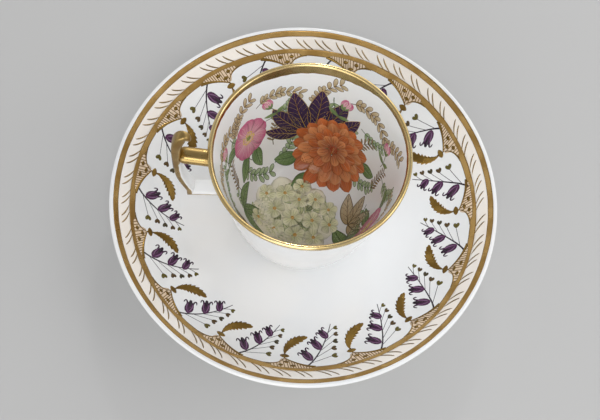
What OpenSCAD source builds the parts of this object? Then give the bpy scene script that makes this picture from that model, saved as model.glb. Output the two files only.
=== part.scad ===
// Teacup and saucer in glazed porcelain. A footed cup with an angular, spurred handle stands on the
// flat floor of a deep saucer. Gilt bands run round the cup's lip and the saucer's border.
// Millimetres, +Z up. The origin is on the table under the middle of the saucer, the handle points to -X.

/* [Saucer] */
// Diameter over the lip
saucer_d = 145; // [134:1:165]
// Depth of the dish, from the lip down to the flat floor
dish_depth = 17.9; // [12:0.1:22]
// Diameter of the flat floor that the cup stands on
dish_floor_d = 84; // [72:1:90]
// Slope of the straight wall above the floor, in degrees
dish_slope = 43; // [36:1:50]
// Thickness of the floor and of the bend
dish_wall = 3; // [2:0.1:4]
// Thickness at the rounded lip
dish_lip = 1.8; // [1.4:0.1:2.6]
// Height of the foot ring below the dish
dish_foot_h = 4.5; // [3:0.1:7]
// Outer diameter of the foot ring
dish_foot_d = 84; // [70:1:92]
// Width of the foot ring
dish_foot_w = 3.6; // [2.6:0.1:6]

/* [Cup bowl] */
// Diameter over the lip
cup_d = 70; // [62:0.5:80]
// Height from the foot to the lip
cup_h = 55.7; // [46:0.1:66]
// Diameter of the lower body, just above the foot ring
heel_d = 48.8; // [42:0.2:54]
// Height of the foot ring, up to the lower body
foot_h = 4; // [2.5:0.1:6]
// Outer diameter of the foot ring
foot_d = 45; // [36:0.5:47]
// Width of the foot ring
foot_w = 3; // [2:0.1:5]
// How far the lower body runs down to the foot ring
heel_drop = 1; // [0.4:0.1:2]
// How far the belly swells outside the lower body
belly_out = 3.2; // [1:0.1:6]
// How far above the foot ring the belly swells
belly_rise = 4.8; // [2:0.1:8]
// How far the upper wall draws in below the flared lip
flare_in = 3.8; // [1:0.1:6]
// How far below the lip the flare begins
flare_drop = 17; // [10:0.5:24]
// Thickness of the wall at mid height
wall = 2.3; // [1.6:0.1:3.4]
// Thickness at the rounded lip
lip = 1.6; // [1:0.1:2.4]
// Thickness of the bottom, above the hollow of the foot
base = 3; // [2:0.1:5]
// Diameter of the flat inside the bottom
well_d = 26; // [16:1:34]

/* [Handle] */
// Height of the upper strut above the cup's foot, where it leaves the bowl
upper_z = 42.4; // [36:0.2:46]
// Rise of the upper strut from the bowl to the shoulder
upper_rise = 1; // [0:0.1:3]
// Width of the upper strut
upper_w = 6.2; // [4:0.1:9]
// Thickness of the upper strut
upper_t = 4.4; // [3:0.1:6]
// Reach of the strap's middle from the cup's axis, at the shoulder
shoulder_reach = 46.4; // [43:0.2:54]
// Reach of the strap's middle from the cup's axis, at the heel
heel_reach = 42.8; // [40:0.2:50]
// Height of the heel above the cup's foot
heel_z = 14.6; // [10:0.2:20]
// How far the strap rises upright from the heel
heel_h = 2.6; // [1.6:0.1:4]
// How far the strap drops from the shoulder before it turns in to the heel
strap_drop = 14.4; // [8:0.2:16]
// Rise of the lower strut from the heel to the bowl
lower_rise = 3.2; // [0:0.1:4]
// Width of the strap across the handle
strap_w = 5.8; // [4:0.1:9]
// Thickness of the strap
strap_t = 2.9; // [2:0.1:4]
// Height of the hook's tip above the shoulder
tip_z = 12.8; // [10:0.2:20]
// Reach of the hook's tip from the cup's axis
tip_reach = 41.2; // [38:0.2:44]
// How far the hook rises above its tip
hook_rise = 4.4; // [3:0.2:8]
// How far the hook leans out from its tip
hook_out = 1.5; // [0.5:0.1:3]
// How far the spur runs up from the shoulder before it curls
spur_run = 15; // [10:0.5:20]
// Thickness that the spur swells to between its tip and the shoulder
spur_t = 3.7; // [3:0.1:6]
// Width that the spur swells to between its tip and the shoulder
spur_w = 4.4; // [3:0.1:8]
// Width of the hook's tip
tip_w = 1.6; // [1:0.1:3]
// Thickness of the hook's tip
tip_t = 1; // [0.8:0.1:2]
// Clearance of the handle's ends from the bowl, filled with slip
slip_gap = 0.1; // [0.1:0.01:0.2]

/* [Gilding] */
// Thickness of the gold film
gilt_t = 0.12; // [0.08:0.01:0.3]
// Clearance between the film and the glaze
gilt_gap = 0.02; // [0.02:0.01:0.05]
// Width of the gilding outside and inside the cup's lip
lip_gilt_w = 1.8; // [1:0.1:4]
// Plain white edge between the saucer's lip and the outer band
edge_margin = 1.6; // [1.4:0.1:3]
// Width of the outer band
outer_band_w = 1.6; // [1:0.1:3]
// White stripe between the two bands
stripe_w = 3.8; // [2:0.1:6]
// Width of the inner band
inner_band_w = 2.2; // [1:0.1:4]

/* [Hidden] */
$fn = 128;

// Steps along a curve, and along a small round
curve_steps = 24;
round_steps = 8;

// The saucer's inside wall: a straight slope from the lip, which meets the floor in an arc
saucer_r = saucer_d / 2;
dish_floor_r = dish_floor_d / 2;
dish_foot_r = dish_foot_d / 2;
dish_floor_z = dish_foot_h + dish_wall;
slope_normal = [-sin(dish_slope), cos(dish_slope)];
dish_lip_middle = [saucer_r - dish_lip / 2, dish_depth - dish_lip / 2];
slope_top = dish_lip_middle + slope_normal * dish_lip / 2;
slope_foot_r = slope_top[0] - slope_top[1] / tan(dish_slope);
bend_r = (slope_foot_r - dish_floor_r) / tan(dish_slope / 2);

// The cup's bowl, from its own foot upwards
cup_r = cup_d / 2;
heel_r = heel_d / 2;
foot_r = foot_d / 2;
inside_z = foot_h + base;
belly_z = foot_h + belly_rise;
flare_z = cup_h - flare_drop;
lip_z = cup_h - lip / 2;

// Edges of the foot rings are eased by this radius
foot_ease = 0.6;

// Outlines are lists of [radius, height]
function arc(c, r, from, to, steps) =
    [for (i = [0:steps]) c + r * [cos(from + (to - from) * i / steps), sin(from + (to - from) * i / steps)]];
function bezier(a, b, c, d, steps) =
    [for (i = [0:steps]) let (t = i / steps, u = 1 - t)
        u * u * u * a + 3 * u * u * t * b + 3 * u * t * t * c + t * t * t * d];
function unit(v) = v / norm(v);
function left_of(v) = [-v[1], v[0]];
function backwards(list) = [for (i = [len(list) - 1:-1:0]) list[i]];

// A foot ring's outline from its outer side to its inner side, standing on z
function foot_ring(r, w, z, outer_top, inner_top) = concat(
    [[r, outer_top]],
    arc([r - foot_ease, z + foot_ease], foot_ease, 0, -90, round_steps),
    arc([r - w + foot_ease, z + foot_ease], foot_ease, -90, -180, round_steps),
    [[r - w, inner_top]]);

// The bend is an arc about this middle, and the underside follows it at the wall's thickness
bend_middle = [dish_floor_r, bend_r];
inside_bend = arc(bend_middle, bend_r, -90, dish_slope - 90, curve_steps);
underside = concat(
    [dish_lip_middle - slope_normal * dish_lip / 2],
    arc(bend_middle, bend_r + dish_wall, dish_slope - 90, -90, curve_steps));

saucer_outline = concat(
    [[0, 0]],
    inside_bend,
    arc(dish_lip_middle, dish_lip / 2, 90 + dish_slope, dish_slope - 90, round_steps),
    [for (p = underside) if (p[0] > dish_foot_r) p],
    foot_ring(dish_foot_r, dish_foot_w, -dish_floor_z, lookup(dish_foot_r, underside), -dish_wall),
    [[0, -dish_wall]]);

bowl_outside = bezier([heel_r, foot_h], [heel_r + belly_out, belly_z],
    [cup_r - flare_in, flare_z], [cup_r, lip_z], curve_steps);
bowl_inside = bezier([well_d / 2, inside_z], [heel_r + belly_out - wall, inside_z],
    [cup_r - flare_in - wall, flare_z], [cup_r - lip, lip_z], curve_steps);
bowl_lip = arc([cup_r - lip / 2, lip_z], lip / 2, 0, 180, round_steps);

bowl_outline = concat(
    [[0, inside_z]],
    bowl_inside,
    backwards(bowl_lip),
    backwards(bowl_outside),
    foot_ring(foot_r, foot_w, 0, foot_h - heel_drop, foot_h),
    [[0, foot_h]]);

// The bowl's radius at a height, along the same straight steps as its outline
function radius_at(z, line) = lookup(z, [for (p = line) [p[1], p[0]]]);
function bowl_r(z) = radius_at(z, bowl_outside);

// The part of a rising line between a height and the lip
function above(z, line) = concat(
    [[radius_at(z, line), z]],
    [for (p = line) if (p[1] > z && p[1] < lip_z) p]);

// A film of gold over an outline that has its glaze on the right-hand side
function film(line) =
    let (last = len(line) - 1)
    let (out = [for (i = [0:last]) left_of(unit(line[min(i + 1, last)] - line[max(i - 1, 0)]))])
    concat(
        [for (i = [0:last]) line[i] + out[i] * gilt_gap],
        [for (i = [last:-1:0]) line[i] + out[i] * (gilt_gap + gilt_t)]);

// A band on the saucer's inside wall, between two radii
inside_wall = concat(inside_bend, [slope_top]);
function on_wall(r) = [r, lookup(r, inside_wall)];
function band(inner, outer) = film(concat(
    [on_wall(inner)],
    [for (p = inside_wall) if (p[0] > inner && p[0] < outer) p],
    [on_wall(outer)]));
outer_band_out = saucer_r - edge_margin;
outer_band_in = outer_band_out - outer_band_w;
inner_band_out = outer_band_in - stripe_w;
inner_band_in = inner_band_out - inner_band_w;

// The strap's middle line, from the hook's tip over the spur to the shoulder, the heel and the bowl.
// Its points are [reach from the cup's axis, height above the cup's foot].
shoulder = [shoulder_reach, upper_z + upper_rise];
heel = [heel_reach, heel_z];
lower_root = [bowl_r(heel_z + lower_rise) + slip_gap, heel_z + lower_rise];
tip = [tip_reach, shoulder[1] + tip_z];
hook_pull = tip + [hook_out, hook_rise];
spur_line = bezier(tip, hook_pull, shoulder + [0, spur_run], shoulder, curve_steps);
strap_pull = shoulder - [0, strap_drop];
strap_curve = bezier(shoulder, strap_pull, strap_pull, heel + [0, heel_h], curve_steps);
below_shoulder = concat([for (i = [1:curve_steps]) strap_curve[i]], [heel, lower_root]);
strap_line = concat(spur_line, below_shoulder);

// The spur's size goes from a at its tip through b midway to c at the shoulder
function swell(a, b, c, s) = a * (1 - s) * (1 - 2 * s) + 4 * b * s * (1 - s) + c * s * (2 * s - 1);
strap_sizes = concat(
    [for (i = [0:curve_steps]) let (s = i / curve_steps)
        [swell(tip_w, spur_w, strap_w, s), swell(tip_t, spur_t, strap_t, s)]],
    [for (p = below_shoulder) [strap_w, strap_t]]);

// The upper strut's middle line, from the bowl to inside the strap, where its end draws in
upper_root = [bowl_r(upper_z) + slip_gap, upper_z];
outwards = unit(shoulder - upper_root);
end_draw = 0.3;
strut_line = [
    upper_root,
    shoulder - outwards * (strap_t + upper_t) / 2,
    shoulder - outwards * strap_t / 2,
    shoulder];
strut_sizes = [
    [upper_w, upper_t],
    [upper_w, upper_t],
    [min(upper_w, strap_w) - end_draw, upper_t - end_draw],
    [strap_w / 2, strap_t]];

// A section of rounded corners: [across the handle, through the strap]. A lower power is squarer.
section_sides = 20;
section_power = 0.55;
function rounded(c) = sign(c) * pow(abs(c), section_power);
function section(size) =
    [for (k = [0:section_sides - 1]) let (a = 360 * k / section_sides)
        [rounded(cos(a)) * size[0] / 2, rounded(sin(a)) * size[1] / 2]];

// A point of the handle, moved out of the bowl where it would sink in
function clear_of_bowl(p) =
    let (least = sqrt(pow(bowl_r(p[2]) + slip_gap, 2) - p[1] * p[1])) [-max(p[0], least), p[1], p[2]];

// The section at a point of a line, mitred where the line turns a corner
function ring(line, i, size) =
    let (last = len(line) - 1)
    let (before = unit(line[max(i, 1)] - line[max(i, 1) - 1]))
    let (after = unit(line[min(i, last - 1) + 1] - line[min(i, last - 1)]))
    let (along = unit(before + after), up = left_of(along) / (along * before))
    [for (s = section(size)) clear_of_bowl([line[i][0] + up[0] * s[1], s[0], line[i][1] + up[1] * s[1]])];

// A solid of triangles through the rings along a line, closed by a fan at both ends
module sweep(line, sizes) {
    rings = [for (i = [0:len(line) - 1]) ring(line, i, sizes[i])];
    ends = [for (r = [rings[0], rings[len(line) - 1]]) (r[0] + r[section_sides / 2]) / 2];
    points = concat([for (r = rings) each r], [for (e = ends) clear_of_bowl([-e[0], e[1], e[2]])]);
    first_end = len(points) - 2;
    function at(i, k) = i * section_sides + k % section_sides;
    walls = [for (i = [0:len(line) - 2], k = [0:section_sides - 1])
        each [[at(i, k), at(i + 1, k + 1), at(i + 1, k)], [at(i, k), at(i, k + 1), at(i + 1, k + 1)]]];
    caps = [for (k = [0:section_sides - 1])
        each [[first_end, at(0, k + 1), at(0, k)],
              [first_end + 1, at(len(line) - 1, k), at(len(line) - 1, k + 1)]]];
    polyhedron(points, concat(walls, caps));
}

module on_floor() {
    translate([0, 0, dish_floor_z]) children();
}

module saucer() {
    color("white") on_floor() rotate_extrude() polygon(saucer_outline);
}

module saucer_outer_band() {
    color("goldenrod") on_floor() rotate_extrude() polygon(band(outer_band_in, outer_band_out));
}

module saucer_inner_band() {
    color("goldenrod") on_floor() rotate_extrude() polygon(band(inner_band_in, inner_band_out));
}

module cup_bowl() {
    color("white") on_floor() rotate_extrude() polygon(bowl_outline);
}

module cup_lip_gilding() {
    inside = above(lip_z - lip_gilt_w, bowl_inside);
    outside = above(lip_z - lip_gilt_w, bowl_outside);
    color("goldenrod") on_floor() rotate_extrude()
        polygon(film(concat(inside, backwards(bowl_lip), backwards(outside))));
}

module handle() {
    color("goldenrod") on_floor() {
        sweep(strap_line, strap_sizes);
        sweep(strut_line, strut_sizes);
    }
}

saucer();
saucer_outer_band();
saucer_inner_band();
cup_bowl();
cup_lip_gilding();
handle();
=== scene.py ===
"""Looks of a painted and gilded porcelain teacup on its deep saucer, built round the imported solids."""

import math

import bpy
import numpy as np
from mathutils import Matrix, Vector


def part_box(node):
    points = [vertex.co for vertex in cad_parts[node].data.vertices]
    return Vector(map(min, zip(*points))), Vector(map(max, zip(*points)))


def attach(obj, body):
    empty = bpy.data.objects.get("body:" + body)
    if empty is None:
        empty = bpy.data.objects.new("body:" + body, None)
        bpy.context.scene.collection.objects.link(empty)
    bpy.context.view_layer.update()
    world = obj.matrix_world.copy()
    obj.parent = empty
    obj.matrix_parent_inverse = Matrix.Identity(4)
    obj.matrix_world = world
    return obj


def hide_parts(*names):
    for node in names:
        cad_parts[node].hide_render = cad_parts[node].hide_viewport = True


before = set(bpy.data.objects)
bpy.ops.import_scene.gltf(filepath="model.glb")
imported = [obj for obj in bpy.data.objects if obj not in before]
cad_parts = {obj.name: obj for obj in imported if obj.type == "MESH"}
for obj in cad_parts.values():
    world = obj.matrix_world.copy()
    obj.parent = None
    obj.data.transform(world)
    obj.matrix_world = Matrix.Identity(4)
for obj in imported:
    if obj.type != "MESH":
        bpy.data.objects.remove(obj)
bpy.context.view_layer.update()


# Saucer: a deep dish of white porcelain, pressed and turned in one piece with its foot ring, and
# glazed all over but for the ring's standing edge. It stands on the table and carries the cup.
MM = 0.001
saucer_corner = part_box("saucer")[1]
saucer_r = saucer_corner.x
dish_lip = 1.8 * MM
dish_wall = 3 * MM
dish_slope = 43
dish_floor_r = 42 * MM
dish_floor_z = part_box("cup_bowl")[0].z
dish_foot_r = 42 * MM
dish_foot_w = 3.6 * MM
foot_ease = 0.6 * MM
foot_cove = 0.9 * MM
bare_edge = 0.25 * MM
ease_steps = 6
lip_steps = 14
floor_steps = 14
bend_steps = 48
slope_steps = 12
sharp_edge = math.radians(50)


def arc(middle, radius, start, end, steps):
    """Points of [radius, height] along an arc between two angles in degrees."""
    turn = np.radians(np.linspace(start, end, steps + 1))
    return np.column_stack([middle[0] + radius * np.cos(turn), middle[1] + radius * np.sin(turn)])


def bezier(pulls, steps):
    """Points along the curve that any number of pulling points gives."""
    share = np.linspace(0, 1, steps + 1)[:, None]
    rows = [np.asarray(pull, float) + 0 * share for pull in pulls]
    while len(rows) > 1:
        rows = [a + (b - a) * share for a, b in zip(rows, rows[1:])]
    return rows[0]


def foot_ring(outer_r, width, stand_z, outer_top, inner_top):
    """Outline of a foot ring from its outer cove down to its standing edge and up to its inner cove."""
    inner_r = outer_r - width
    return np.vstack([
        arc((outer_r + foot_cove, outer_top - foot_cove), foot_cove, 90, 180, ease_steps),
        arc((outer_r - foot_ease, stand_z + foot_ease), foot_ease, 0, -90, ease_steps),
        arc((inner_r + foot_ease, stand_z + foot_ease), foot_ease, -90, -180, ease_steps),
        arc((inner_r - foot_cove, inner_top - foot_cove), foot_cove, 0, 90, ease_steps)])


def shown(name, points, faces):
    """A smooth object of that name, at the origin."""
    mesh = bpy.data.meshes.new(name)
    mesh.from_pydata(np.asarray(points).tolist(), [], np.asarray(faces, dtype=object).tolist())
    mesh.shade_smooth()
    obj = bpy.data.objects.new(name, mesh)
    bpy.context.scene.collection.objects.link(obj)
    return obj


def full_turn(count):
    """Even angles round a full turn."""
    return np.linspace(0, 2 * math.pi, count, endpoint=False)


def tube(name, rings, first, last):
    """A closed tube through rings of points, with each end drawn together in one point."""
    rows, sides = rings.shape[:2]
    here = np.arange(rows * sides).reshape(rows, sides)
    there = np.roll(here, -1, axis=1)
    faces = np.stack([here[:-1], there[:-1], there[1:], here[1:]], -1).reshape(-1, 4).tolist()
    faces += np.column_stack([np.full(sides, rows * sides), there[0], here[0]]).tolist()
    faces += np.column_stack([np.full(sides, rows * sides + 1), here[-1], there[-1]]).tolist()
    return shown(name, np.vstack([rings.reshape(-1, 3), [first, last]]), faces)


def turned(name, outline, sides=384):
    """A solid of revolution. Its outline of [radius, height] starts and ends on the axis."""
    turn = -full_turn(sides)
    radii, heights = outline[1:-1].T
    rings = np.stack([np.outer(radii, np.cos(turn)), np.outer(radii, np.sin(turn)),
                      np.repeat(heights[:, None], sides, axis=1)], -1)
    return tube(name, rings, (0, 0, outline[0][1]), (0, 0, outline[-1][1]))


slope = math.radians(dish_slope)
slope_normal = np.array([-math.sin(slope), math.cos(slope)])
dish_lip_middle = np.array([saucer_r - dish_lip / 2, saucer_corner.z - dish_lip / 2])
slope_top = dish_lip_middle + slope_normal * dish_lip / 2
slope_foot_r = slope_top[0] - (slope_top[1] - dish_floor_z) / math.tan(slope)
bend_r = (slope_foot_r - dish_floor_r) / math.tan(slope / 2)
bend_middle = (dish_floor_r, dish_floor_z + bend_r)
under_z = dish_floor_z - dish_wall
bend = arc(bend_middle, bend_r, -90, dish_slope - 90, bend_steps)
dish_inside = np.vstack([
    bezier([(0, dish_floor_z), bend[0]], floor_steps)[:-1], bend,
    bezier([bend[-1], slope_top], slope_steps)[1:]])
under_bend = arc(bend_middle, bend_r + dish_wall, dish_slope - 90, -90, bend_steps)
underside = np.vstack([
    bezier([dish_lip_middle - slope_normal * dish_lip / 2, under_bend[0]], slope_steps), under_bend[1:]])
foot_top_z = np.interp(-dish_foot_r - foot_cove, -underside[:, 0], underside[:, 1])
saucer = turned("saucer_dish", np.vstack([
    dish_inside,
    arc(dish_lip_middle, dish_lip / 2, 90 + dish_slope, dish_slope - 90, lip_steps)[1:],
    underside[1:][underside[1:, 0] > dish_foot_r + foot_cove],
    foot_ring(dish_foot_r, dish_foot_w, 0, foot_top_z, under_z),
    [[0, under_z]]]))


def put(tree, kind, inputs=None, **settings):
    """Adds a node with these settings. Each input, by name or place, is set or linked."""
    node = tree.nodes.new(kind)
    for name, value in settings.items():
        setattr(node, name, value)
    for key, value in (inputs or {}).items():
        if isinstance(value, bpy.types.NodeSocket):
            tree.links.new(value, node.inputs[key])
        else:
            node.inputs[key].default_value = value
    return node


def math_of(tree, operation, a, b=0.0, clamp=False):
    """The result of a sum between two values or sockets."""
    return put(tree, "ShaderNodeMath", {0: a, 1: b}, operation=operation, use_clamp=clamp).outputs[0]


def between(tree, value, low, high, to_low=0.0, to_high=1.0):
    """A value that runs smoothly from to_low to to_high while another runs from low to high."""
    ends = {"Value": value, "From Min": low, "From Max": high, "To Min": to_low, "To Max": to_high}
    return put(tree, "ShaderNodeMapRange", ends, interpolation_type="SMOOTHSTEP").outputs["Result"]


def vector_of(tree, operation, a, b):
    """The result of a sum between two vectors, or between a vector and its scale."""
    ends = {0: a, "Scale" if operation == "SCALE" else 1: b}
    return put(tree, "ShaderNodeVectorMath", ends, operation=operation).outputs[0]


def place_on(tree):
    """The place on a piece, in the piece's own coordinates."""
    return put(tree, "ShaderNodeTexCoord").outputs["Object"]


def mixed(tree, share, a, b):
    """The colour between two colours or sockets."""
    return put(tree, "ShaderNodeMix", {0: share, 6: a, 7: b}, data_type="RGBA").outputs[2]


def group(name, inputs, outputs, kind="ShaderNodeTree"):
    """A node group with those named sockets, its input node's sockets and its output node."""
    tree = bpy.data.node_groups.new(name, kind)
    for way, sockets in (("INPUT", inputs), ("OUTPUT", outputs)):
        for socket, value in sockets.items():
            tree.interface.new_socket(socket, in_out=way, socket_type="NodeSocket" + value)
    return tree, tree.nodes.new("NodeGroupInput").outputs, tree.nodes.new("NodeGroupOutput")


def feed(tree, node, **sockets):
    """Links sockets to a node's inputs of those names."""
    for name, socket in sockets.items():
        tree.links.new(socket, node.inputs[name.replace("_", " ")])


def noise(tree, vector, scale, detail=3.0, rough=0.5):
    """The grey value of a noise texture."""
    inputs = {"Vector": vector, "Scale": scale, "Detail": detail, "Roughness": rough}
    return put(tree, "ShaderNodeTexNoise", inputs).outputs["Fac"]


glaze_white = (0.89, 0.89, 0.88, 1)
glaze_pooled = (0.855, 0.87, 0.88, 1)
iron_speck = (0.16, 0.11, 0.07, 1)
bare_clay = (0.62, 0.57, 0.50, 1)
bare_rough = 0.7
glaze_rough = (0.07, 0.16)
glaze_ior = 1.5
speck_scale = 170.0
speck_share = (0.94, 0.95)
speck_size = (0.03, 0.018)
speck_strength = 0.75
pool_scale = 38.0
pool_limits = (0.35, 0.7)
gloss_scale = 90.0
gloss_limits = (0.3, 0.75)
ripple_scale = 210.0
ripple_strength = 0.12
ripple_depth = 0.1 * MM

glaze_group, given, result = group(
    "fired_glaze",
    {"Body": "Color", "Pooled": "Color", "Speck": "Color"},
    {"Colour": "Color", "Roughness": "Float", "Ripple": "Float"})
tree = glaze_group
where = place_on(tree)
cells = put(tree, "ShaderNodeTexVoronoi", {"Vector": where, "Scale": speck_scale}).outputs
few = between(tree, put(tree, "ShaderNodeSeparateColor", {0: cells["Color"]}).outputs[0], *speck_share)
speck = math_of(tree, "MULTIPLY", few, between(tree, cells["Distance"], *speck_size))
pools = between(tree, noise(tree, where, pool_scale), *pool_limits)
cloudy = mixed(tree, pools, given["Body"], given["Pooled"])
feed(tree, result,
     Colour=mixed(tree, math_of(tree, "MULTIPLY", speck, speck_strength), cloudy, given["Speck"]),
     Roughness=between(tree, noise(tree, where, gloss_scale, 4.0), *gloss_limits, *glaze_rough),
     Ripple=noise(tree, where, ripple_scale, 2.0))


def finish_of(name, **plain):
    """A new material, its tree and its shader, with these plain values on the shader."""
    made = bpy.data.materials.new(name)
    made.use_nodes = True
    shader = made.node_tree.nodes["Principled BSDF"]
    for socket, value in plain.items():
        shader.inputs[socket.replace("_", " ")].default_value = value
    return made, made.node_tree, shader


def placed(tree, shared, **values):
    """The outputs of a shared group, placed in a material with its own values."""
    return put(tree, "ShaderNodeGroup", values, node_tree=shared).outputs


def bumped(tree, height, strength, depth):
    """The normal that a height gives, at a depth in metres."""
    inputs = {"Height": height, "Strength": strength, "Distance": depth}
    return put(tree, "ShaderNodeBump", inputs).outputs["Normal"]


def glazed(tree, body=glaze_white, pooled=glaze_pooled):
    """The outputs of the glaze in a material, and the normal of its ripple."""
    glaze = placed(tree, glaze_group, Body=body, Pooled=pooled, Speck=iron_speck)
    return glaze, bumped(tree, glaze["Ripple"], ripple_strength, ripple_depth)


def porcelain(name, stand_z):
    """Glazed porcelain, bare along the edge that it stands on at that height."""
    made, tree, shader = finish_of(name, IOR=glaze_ior)
    glaze, ripple = glazed(tree)
    height = put(tree, "ShaderNodeSeparateXYZ", {0: place_on(tree)}).outputs["Z"]
    bare = between(tree, height, stand_z + bare_edge, stand_z + bare_edge / 2)
    feed(tree, shader,
         Base_Color=mixed(tree, bare, glaze["Colour"], bare_clay),
         Roughness=math_of(tree, "MAXIMUM", glaze["Roughness"], math_of(tree, "MULTIPLY", bare, bare_rough)),
         Normal=ripple)
    return made


saucer.data.materials.append(porcelain("saucer_porcelain", 0.0))
saucer.data.set_sharp_from_angle(angle=sharp_edge)
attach(saucer, "saucer")
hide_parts("saucer")


# Saucer gilding: burnished gold, laid on with a brush while the dish turns on a wheel and fired over
# the glaze. A plain band runs inside the lip, and a second one carries the arcaded border.
outer_band = (69.2 * MM, 70.95 * MM)
inner_band = (64.25 * MM, 65.5 * MM)
crown_edge = 63.5 * MM
bays = 15
bay = 360 / bays
first_bead = 19.78
arch_up = [(0, 59.9), (0.8, 62.6), (4.2, 63.75), (9, 63.7)]
arch_down = [(9, 63.7), (15, 63.65), (19.5, 62.1), (bay, 59.9)]
arch_steps = 24
crown_from = 62.9
crown_over = 0.55
film = 0.02 * MM
film_sides = 900
band_waver = 0.06 * MM


def run_of(line):
    """How far along a line each of its points lies."""
    return np.concatenate([[0], np.cumsum(np.linalg.norm(np.diff(line, axis=0), axis=1))])


def along(line, lengths):
    """Points at lengths along a line, and the directions to the left of it, which face the air."""
    marks = run_of(line)
    aims = np.gradient(line, marks, axis=0)
    spot, aim = [np.stack([np.interp(lengths, marks, of[:, k]) for k in (0, 1)], -1) for of in (line, aims)]
    aim /= np.linalg.norm(aim, axis=-1, keepdims=True)
    return spot, np.stack([-aim[..., 1], aim[..., 0]], -1)


def laid(line, lengths, turns, lift):
    """Points on a turned surface, lifted off the glaze at lengths along its line and turns about the axis."""
    spot, out = along(line, lengths)
    spot = spot + out * lift
    return np.stack([spot[..., 0] * np.cos(turns), spot[..., 0] * np.sin(turns), spot[..., 1]], -1)


def shell_faces(rows, columns, closed=False):
    """Faces of a thin closed shell: a grid of upper points, then the same grid of lower points."""
    upper = np.arange(rows * columns).reshape(rows, columns)
    upper = np.vstack([upper, upper[:1]]) if closed else upper
    lower = upper + rows * columns

    def quads(*corners):
        return np.stack(corners, -1).reshape(-1, 4)

    sheets = [
        quads(upper[:-1, :-1], upper[1:, :-1], upper[1:, 1:], upper[:-1, 1:]),
        quads(lower[:-1, :-1], lower[:-1, 1:], lower[1:, 1:], lower[1:, :-1]),
        quads(lower[:-1, 0], lower[1:, 0], upper[1:, 0], upper[:-1, 0]),
        quads(upper[:-1, -1], upper[1:, -1], lower[1:, -1], lower[:-1, -1])]
    if not closed:
        sheets += [
            quads(upper[0, :-1], upper[0, 1:], lower[0, 1:], lower[0, :-1]),
            quads(lower[-1, :-1], lower[-1, 1:], upper[-1, 1:], upper[-1, :-1])]
    return np.vstack(sheets)


def waver(turns, seed):
    """The small waver of a hand-held brush along a full turn, from -1 to 1."""
    draw = np.random.default_rng(seed)
    waves = draw.integers(5, 60, 9)
    return sum(np.sin(turns * n + p) for n, p in zip(waves, draw.uniform(0, 2 * math.pi, 9))) / 4


def film_ring(name, line, start, end, wavers=(0, 0), columns=5, lift=2 * film):
    """A film round a turned surface between two lengths along its line, which may change with the turn."""
    turns = full_turn(film_sides)
    inner = start + wavers[0] * waver(turns, 1)
    outer = end + wavers[1] * waver(turns, 2)
    lengths = outer[:, None] + (inner - outer)[:, None] * np.linspace(0, 1, columns + 1)
    turns = np.repeat(turns[:, None], columns + 1, axis=1)
    points = [laid(line, lengths, turns, height).reshape(-1, 3) for height in (lift, -film)]
    return shown(name, np.vstack(points), shell_faces(film_sides, columns + 1, closed=True))


def dish_ring(name, edges, **more):
    """A film round the inside of the dish between two radii."""
    marks = [np.interp(edge, dish_inside[:, 0], run_of(dish_inside)) for edge in edges]
    return film_ring(name, dish_inside, *marks, **more)


def eased(share):
    """A share that starts and ends gently, kept between 0 and 1."""
    share = np.clip(share, 0, 1)
    return share ** 2 * (3 - 2 * share)


arch_line = np.vstack([bezier(arch_up, arch_steps), bezier(arch_down, arch_steps)[1:]])


def arch_r(turn):
    """Radius of the arcade's arches in millimetres at a clockwise turn from a bead, in degrees."""
    return np.interp(np.asarray(turn) % bay, arch_line[:, 0], arch_line[:, 1])


bead_turns = -np.degrees(full_turn(film_sides)) - first_bead
near_crown = eased((arch_r(bead_turns) - crown_from) / crown_over)
crowned = inner_band[0] + (crown_edge - inner_band[0]) * near_crown

gold_bright = (0.50, 0.32, 0.115, 1)
gold_rubbed = (0.36, 0.215, 0.065, 1)
gold_ground = (0.50, 0.36, 0.22, 1)
gold_rough = (0.3, 0.46)
cloud_scale = 120.0
cloud_limits = (0.35, 0.65)
dull_limits = (0.3, 0.7)
rub_scale = 900.0
worn_limits = (0.78, 0.9)
worn_metal = 0.15
grain_strength = 0.15
grain_depth = 0.02 * MM

gold_group, given, result = group(
    "burnished_gold",
    {"Bright": "Color", "Rubbed": "Color", "Ground": "Color", "Wear": "Float", "Polish": "Float"},
    {"Colour": "Color", "Metal": "Float", "Roughness": "Float", "Grain": "Float"})
tree = gold_group
where = place_on(tree)
cloud = noise(tree, where, cloud_scale, 4.0)
rubbing = noise(tree, where, rub_scale, 5.0, 0.65)
rubbed = mixed(tree, between(tree, cloud, *cloud_limits), given["Bright"], given["Rubbed"])
worn = between(tree, math_of(tree, "ADD", rubbing, given["Wear"]), *worn_limits)
dull = between(tree, cloud, *dull_limits, *gold_rough)
feed(tree, result,
     Colour=mixed(tree, worn, rubbed, given["Ground"]),
     Metal=between(tree, worn, 0.0, 1.0, 1.0, worn_metal),
     Roughness=math_of(tree, "SUBTRACT", dull, given["Polish"]),
     Grain=rubbing)


def gilding(name, wear, bright=gold_bright, rubbed=gold_rubbed, polish=0.1):
    """Burnished gold with that much wear and polish."""
    made, tree, shader = finish_of(name)
    gold = placed(
        tree, gold_group, Bright=bright, Rubbed=rubbed, Ground=gold_ground, Wear=wear, Polish=polish)
    feed(tree, shader,
         Base_Color=gold["Colour"], Metallic=gold["Metal"], Roughness=gold["Roughness"],
         Normal=bumped(tree, gold["Grain"], grain_strength, grain_depth))
    return made


band_gold = gilding("band_gold", 0.12)
for name, node, edges in (
        ("saucer_outer_gilding", "saucer_outer_band", outer_band),
        ("saucer_arcade_gilding", "saucer_inner_band", (crowned, inner_band[1]))):
    band = dish_ring(name, edges, wavers=(band_waver, band_waver))
    band.data.materials.append(band_gold)
    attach(band, "saucer")
    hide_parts(node)


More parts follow.
